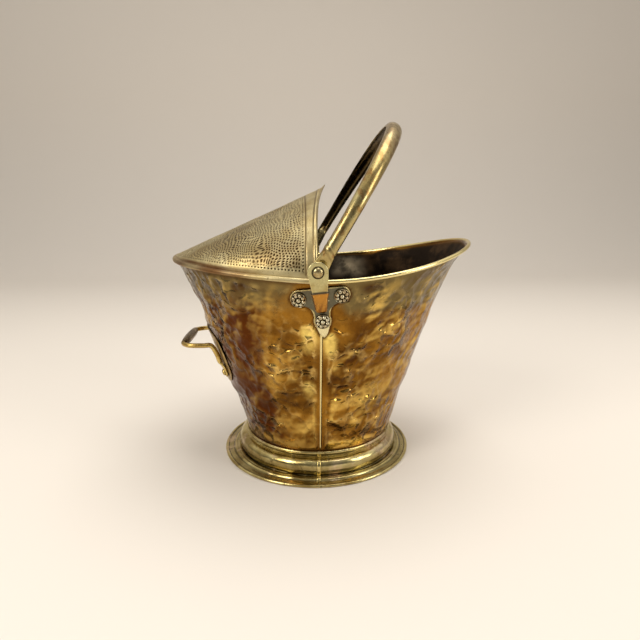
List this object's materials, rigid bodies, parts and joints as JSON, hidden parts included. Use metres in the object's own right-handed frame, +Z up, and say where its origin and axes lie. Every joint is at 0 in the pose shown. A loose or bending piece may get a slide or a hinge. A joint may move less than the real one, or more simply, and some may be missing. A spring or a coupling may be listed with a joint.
{
  "type": "coal scuttle",
  "caption": "Brass coal scuttle of the helmet pattern: flaring oval body on a moulded foot, fixed hood, swinging carrying handle and a tipping handle at the back",
  "frame": {"origin": "on the floor, below the middle of the scuttle's whole length and on its middle plane", "axes": "+Z up, +X towards the pouring lip, +Y to the far side as pictured; the scuttle stands on Z = 0"},
  "size_m": [0.4062, 0.3412, 0.4537],
  "materials": {
    "body_brass": "hand-worked sheet brass, polished long ago, with brown tarnish and many dents",
    "foot_brass": "stamped sheet brass, polished",
    "hood_brass": "sheet brass, satin, with a finely punched face and plain borders",
    "cast_brass": "cast brass, polished and lightly tarnished",
    "dark_brass": "brass with dark brown patina",
    "iron_wire": null
  },
  "bodies": {
    "scuttle": {"base_plate": "body_brass", "body_front_shell": "body_brass", "body_rear_shell": "body_brass", "bracket_far": "cast_brass", "bracket_near": "cast_brass", "foot_edge_wire": "iron_wire", "foot_front_half": "foot_brass", "foot_rear_half": "foot_brass", "hood": "hood_brass", "pivot_rivet_far": "cast_brass", "pivot_rivet_near": "cast_brass", "pivot_washer_far": "cast_brass", "pivot_washer_near": "cast_brass", "rear_handle_burr_far": "cast_brass", "rear_handle_burr_near": "cast_brass", "rear_handle_grip": "dark_brass", "rear_handle_plate": "dark_brass", "rear_handle_rivet_far": "cast_brass", "rear_handle_rivet_near": "cast_brass", "rear_handle_rod": "cast_brass", "rim_wire": "iron_wire", "rosette_burr_far_front": "cast_brass", "rosette_burr_far_lower": "cast_brass", "rosette_burr_far_rear": "cast_brass", "rosette_burr_near_front": "cast_brass", "rosette_burr_near_lower": "cast_brass", "rosette_burr_near_rear": "cast_brass", "rosette_rivet_far_front": "cast_brass", "rosette_rivet_far_lower": "cast_brass", "rosette_rivet_far_rear": "cast_brass", "rosette_rivet_near_front": "cast_brass", "rosette_rivet_near_lower": "cast_brass", "rosette_rivet_near_rear": "cast_brass"},
    "carrying_handle": {"bail_handle": "cast_brass"}
  },
  "joints": [
    {"name": "bail_swing", "type": "hinge", "parent": "scuttle", "child": "carrying_handle", "pos_m": [-0.00995, 0, 0.2805], "axis": [0, 1, 0], "range_deg": [-116, 50.5]}
  ]
}
